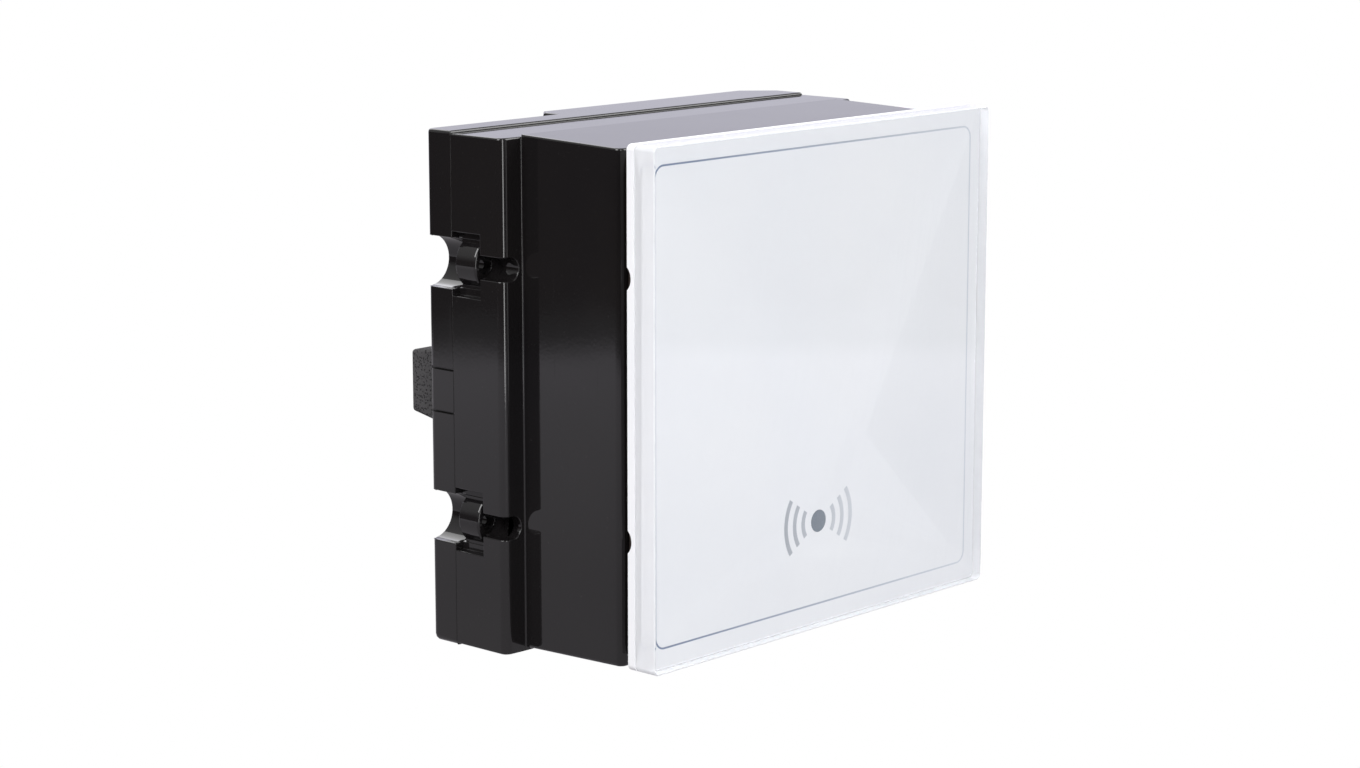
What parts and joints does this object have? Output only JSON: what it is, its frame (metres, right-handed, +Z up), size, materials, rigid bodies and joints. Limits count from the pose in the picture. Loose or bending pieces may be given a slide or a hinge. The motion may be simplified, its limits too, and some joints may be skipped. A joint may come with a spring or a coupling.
{
  "type": "rfid card reader",
  "caption": "Flush-mount contactless card reader module: square clear-fronted white plate with a printed card symbol on a stepped gloss black housing with side fixing channels.",
  "frame": {"origin": "centre of the four fixing eyes, on the plane where their rear faces sit on the posts of the wall frame", "axes": "+X towards the observer's right when facing the plate, +Y into the wall, +Z up; the plate faces -Y"},
  "size_m": [0.105, 0.0674, 0.1031],
  "materials": {
    "clear_window": "polished clear acrylic",
    "white_plastic": "satin",
    "grey_print": "screen print",
    "dark_print": "screen print",
    "gloss_black": "moulded gloss",
    "seal_rubber": "matte",
    "sponge_rubber": "open-cell sponge",
    "frosted_plastic": "frosted",
    "light_plastic": "clear moulded",
    "board": "solder mask",
    "copper": "bare copper",
    "ferrite": "matte",
    "steel": "zinc plated",
    "gold_pins": "gold flash",
    "chip_black": "moulded",
    "capacitor_sleeve": "heat-shrunk sleeve",
    "ceramic": "ceramic",
    "ivory_plastic": "satin"
  },
  "bodies": {
    "housing": {"neck_seal": "seal_rubber", "middle_shell": "gloss_black", "rear_cover": "gloss_black", "cover_seal": "seal_rubber", "screw_eye_left_upper": "gloss_black", "screw_eye_left_lower": "gloss_black", "screw_eye_right_upper": "gloss_black", "screw_eye_right_lower": "gloss_black", "side_tab": "frosted_plastic", "rear_pad": "sponge_rubber", "aerial_board": "board", "aerial_coil": "copper", "ferrite_sheet": "ferrite", "indicator_led": "light_plastic", "light_guide": "light_plastic", "main_board": "board", "board_spacers": "ivory_plastic", "board_screws": "steel", "board_link": "chip_black", "reader_chip": "chip_black", "control_chip": "chip_black", "memory_chip": "chip_black", "crystal": "steel", "power_coil": "ferrite", "capacitors": "capacitor_sleeve", "bridge_rectifier": "chip_black", "small_parts": "ceramic", "buzzer": "chip_black", "bus_socket": "chip_black", "bus_pins": "gold_pins", "tamper_switch": "chip_black", "setup_switch": "steel"},
    "front_cap": {"front_window": "clear_window", "front_tray": "white_plastic", "border_line": "grey_print", "symbol_dot": "dark_print", "symbol_waves": "grey_print"},
    "tamper_pin": {"tamper_plunger": "ivory_plastic"},
    "setup_key": {"setup_button": "chip_black"}
  },
  "joints": [
    {"name": "cap_pull", "type": "slide", "parent": "housing", "child": "front_cap", "axis": [0, -1, 0], "range_m": [0, 0.014]},
    {"name": "tamper_press", "type": "slide", "parent": "housing", "child": "tamper_pin", "axis": [0, -1, 0], "range_m": [0, 0.0015], "stiffness_N_per_m": 300, "springref_m": -0.003},
    {"name": "setup_press", "type": "slide", "parent": "housing", "child": "setup_key", "axis": [0, -1, 0], "range_m": [0, 0.0004], "stiffness_N_per_m": 2500, "springref_m": -0.0001}
  ]
}
